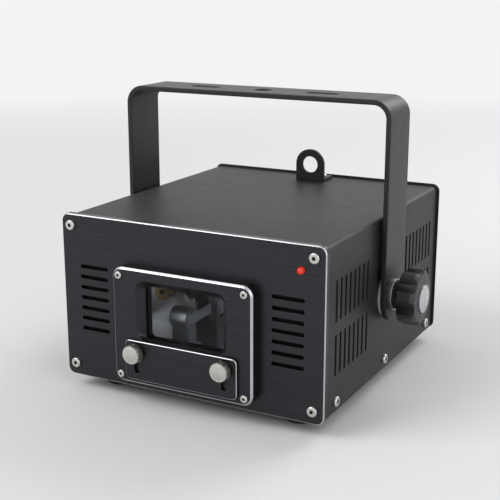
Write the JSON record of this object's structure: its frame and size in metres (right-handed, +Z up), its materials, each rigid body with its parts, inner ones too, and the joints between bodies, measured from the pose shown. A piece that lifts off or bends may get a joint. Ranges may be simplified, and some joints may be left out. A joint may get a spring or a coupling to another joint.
{
  "type": "laser show projector",
  "caption": "Boxy laser show projector with a glazed exit aperture, sliding mask and side vents, hung in a tilting U bracket clamped by hand knobs.",
  "frame": {"origin": "on the floor under the middle of the overall footprint, where the rubber feet stand", "axes": "+Z up through the bracket's strap, the laser light leaves along -Y, +X is to the right of someone who faces the exit window's front panel from the beam's side"},
  "size_m": [0.2702, 0.272, 0.2201],
  "materials": {
    "powder_black": "fine-textured black powder coat",
    "bracket_black": "satin black paint",
    "anodised_black": "black anodised, brushed",
    "milled_aluminium": "milled",
    "zinc_steel": "bright zinc",
    "supply_steel": "plain sheet",
    "nickel": "nickel plate",
    "barrel_brass": "turned",
    "black_plastic": "moulded",
    "display_lens": "dark window",
    "foot_rubber": "soft",
    "friction_nylon": "natural nylon",
    "window_glass": "coated flat glass",
    "beam_mirror": "coated",
    "circuit_board": "solder mask",
    "lamp_lens": "translucent",
    "wire_sleeve": "sleeve"
  },
  "bodies": {
    "case": {"base_plate": "powder_black", "frame_rails": "milled_aluminium", "top_cover": "powder_black", "front_panel": "anodised_black", "rear_panel": "powder_black", "rubber_feet": "foot_rubber", "case_screws": "zinc_steel", "small_screws": "zinc_steel", "pivot_plates": "milled_aluminium", "friction_washers": "friction_nylon", "aperture_bezel": "anodised_black", "window_gasket": "foot_rubber", "exit_window": "window_glass", "indicator_lamps": "lamp_lens", "power_inlet": "black_plastic", "dmx_in_socket": "black_plastic", "dmx_out_socket": "black_plastic", "scan_data_socket": "zinc_steel", "rocker_frame": "black_plastic", "key_lock": "nickel", "menu_display": "display_lens", "control_board": "circuit_board", "fan_frame": "black_plastic", "fan_guard": "zinc_steel", "safety_anchor": "powder_black", "optics_plate": "milled_aluminium", "plate_standoffs": "milled_aluminium", "green_laser_module": "milled_aluminium", "red_laser_module": "milled_aluminium", "lens_barrels": "barrel_brass", "mirror_posts": "milled_aluminium", "beam_mirrors": "beam_mirror", "galvo_block": "milled_aluminium", "galvo_motors": "supply_steel", "shutter_solenoid": "supply_steel", "laser_driver_boards": "circuit_board", "galvo_driver_boards": "circuit_board", "power_supply": "supply_steel", "wiring_loom": "wire_sleeve"},
    "bracket": {"hanging_bracket": "bracket_black", "knob_washers": "zinc_steel"},
    "knob_left": {"tilt_knob_left": "black_plastic", "knob_stud_left": "zinc_steel"},
    "knob_right": {"tilt_knob_right": "black_plastic", "knob_stud_right": "zinc_steel"},
    "mask": {"mask_plate": "anodised_black"},
    "thumb_left": {"thumbscrew_left": "nickel"},
    "thumb_right": {"thumbscrew_right": "nickel"},
    "fuse_tray": {"fuse_drawer": "black_plastic"},
    "rocker": {"power_rocker": "black_plastic"},
    "key": {"switch_key": "nickel"},
    "button_1": {"menu_button_1": "black_plastic"},
    "button_2": {"menu_button_2": "black_plastic"},
    "button_3": {"menu_button_3": "black_plastic"},
    "button_4": {"menu_button_4": "black_plastic"},
    "gain": {"gain_knob": "black_plastic"},
    "fan": {"fan_rotor": "black_plastic"},
    "scan_x": {"galvo_x_mirror": "beam_mirror"},
    "scan_y": {"galvo_y_mirror": "beam_mirror"},
    "shutter": {"shutter_flag": "milled_aluminium"}
  },
  "joints": [
    {"name": "bracket_tilt", "type": "hinge", "parent": "case", "child": "bracket", "pos_m": [0, -0.0004, 0.073], "axis": [1, 0, 0], "range_deg": [-110, 110]},
    {"name": "knob_left_turn", "type": "hinge", "parent": "case", "child": "knob_left", "pos_m": [-0.12, -0.0004, 0.073], "axis": [1, 0, 0], "continuous": true},
    {"name": "knob_right_turn", "type": "hinge", "parent": "case", "child": "knob_right", "pos_m": [0.12, -0.0004, 0.073], "axis": [1, 0, 0], "continuous": true},
    {"name": "mask_slide", "type": "slide", "parent": "case", "child": "mask", "axis": [0, 0, 1], "range_m": [0, 0.014]},
    {"name": "thumb_left_turn", "type": "hinge", "parent": "case", "child": "thumb_left", "pos_m": [-0.036, -0.13, 0.0427], "axis": [0, 1, 0], "continuous": true},
    {"name": "thumb_right_turn", "type": "hinge", "parent": "case", "child": "thumb_right", "pos_m": [0.036, -0.13, 0.0427], "axis": [0, 1, 0], "continuous": true},
    {"name": "fuse_pull", "type": "slide", "parent": "case", "child": "fuse_tray", "axis": [0, 1, 0], "range_m": [0, 0.015]},
    {"name": "rocker_tip", "type": "hinge", "parent": "case", "child": "rocker", "pos_m": [0.0515, 0.1144, 0.068], "axis": [1, 0, 0], "range_deg": [0, 20]},
    {"name": "key_turn", "type": "hinge", "parent": "case", "child": "key", "pos_m": [0.0755, 0.1186, 0.068], "axis": [0, -1, 0], "range_deg": [0, 90]},
    {"name": "button_1_press", "type": "slide", "parent": "case", "child": "button_1", "axis": [0, -1, 0], "range_m": [0, 0.0012], "stiffness_N_per_m": 400},
    {"name": "button_2_press", "type": "slide", "parent": "case", "child": "button_2", "axis": [0, -1, 0], "range_m": [0, 0.0012], "stiffness_N_per_m": 400},
    {"name": "button_3_press", "type": "slide", "parent": "case", "child": "button_3", "axis": [0, -1, 0], "range_m": [0, 0.0012], "stiffness_N_per_m": 400},
    {"name": "button_4_press", "type": "slide", "parent": "case", "child": "button_4", "axis": [0, -1, 0], "range_m": [0, 0.0012], "stiffness_N_per_m": 400},
    {"name": "gain_turn", "type": "hinge", "parent": "case", "child": "gain", "pos_m": [0.0937, 0.12, 0.105], "axis": [0, -1, 0], "range_deg": [-140, 140]},
    {"name": "fan_spin", "type": "hinge", "parent": "case", "child": "fan", "pos_m": [-0.0555, 0.1, 0.073], "axis": [0, 1, 0], "continuous": true},
    {"name": "scan_x_turn", "type": "hinge", "parent": "case", "child": "scan_x", "pos_m": [0, -0.0614, 0.059], "axis": [0, 1, 0], "range_deg": [-12.5, 12.5]},
    {"name": "scan_y_turn", "type": "hinge", "parent": "case", "child": "scan_y", "pos_m": [0, -0.0614, 0.071], "axis": [1, 0, 0], "range_deg": [-12.5, 12.5]},
    {"name": "shutter_lift", "type": "hinge", "parent": "case", "child": "shutter", "pos_m": [-0.015, -0.0854, 0.059], "axis": [1, 0, 0], "range_deg": [0, 35], "stiffness_Nm_per_rad": 0.002, "springref_deg": -17.19}
  ]
}
